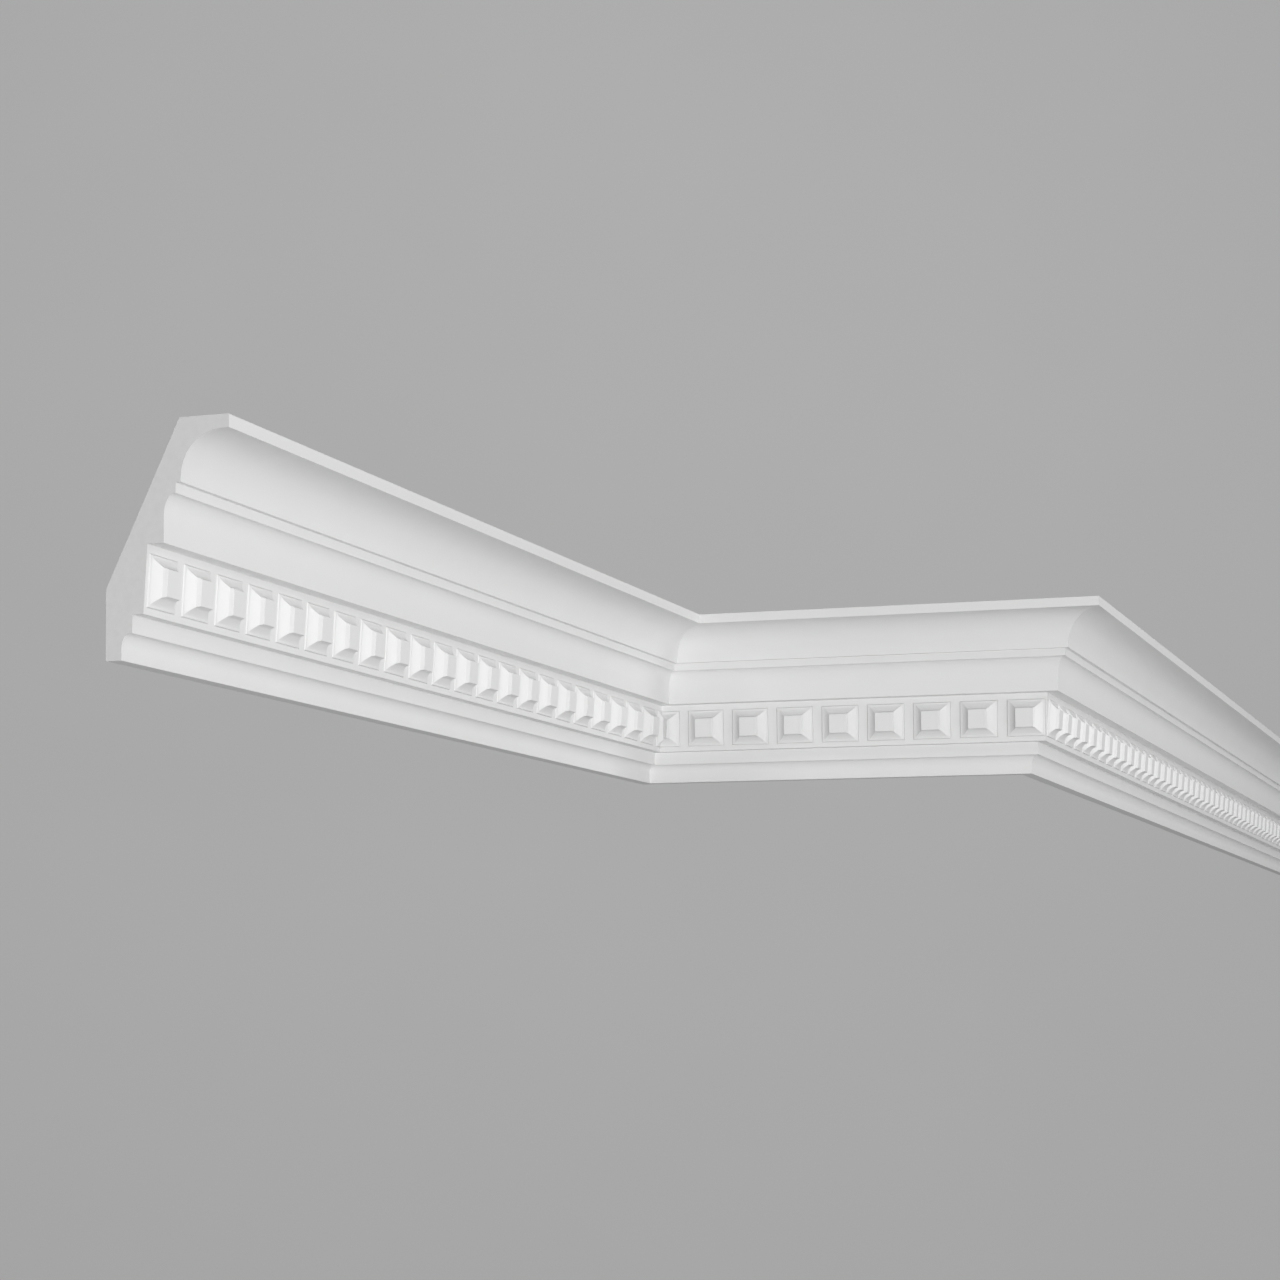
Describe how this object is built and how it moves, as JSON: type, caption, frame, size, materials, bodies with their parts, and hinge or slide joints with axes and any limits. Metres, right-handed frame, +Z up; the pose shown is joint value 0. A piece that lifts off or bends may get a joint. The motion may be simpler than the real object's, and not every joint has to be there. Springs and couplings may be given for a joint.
{
  "type": "cornice moulding",
  "caption": "White cornice moulding with hollow coves and a row of pyramid blocks, in mitred lengths round an inner and an outer wall corner.",
  "frame": {"origin": "middle of the return length's wall face", "axes": "+Z up, towards the ceiling; +Y into the return's wall and along the left and right lengths, from the left one to the right one; +X out of the walls that carry the left and right lengths. The return faces -Y."},
  "size_m": [0.3677, 2.451, 0.12],
  "materials": {
    "left_length": "matt white primer on polyurethane",
    "return_length": "matt white primer on polyurethane",
    "right_length": "matt white primer on polyurethane"
  },
  "bodies": {
    "root": {"left_length": "left_length", "return_length": "return_length", "right_length": "right_length"}
  },
  "joints": []
}
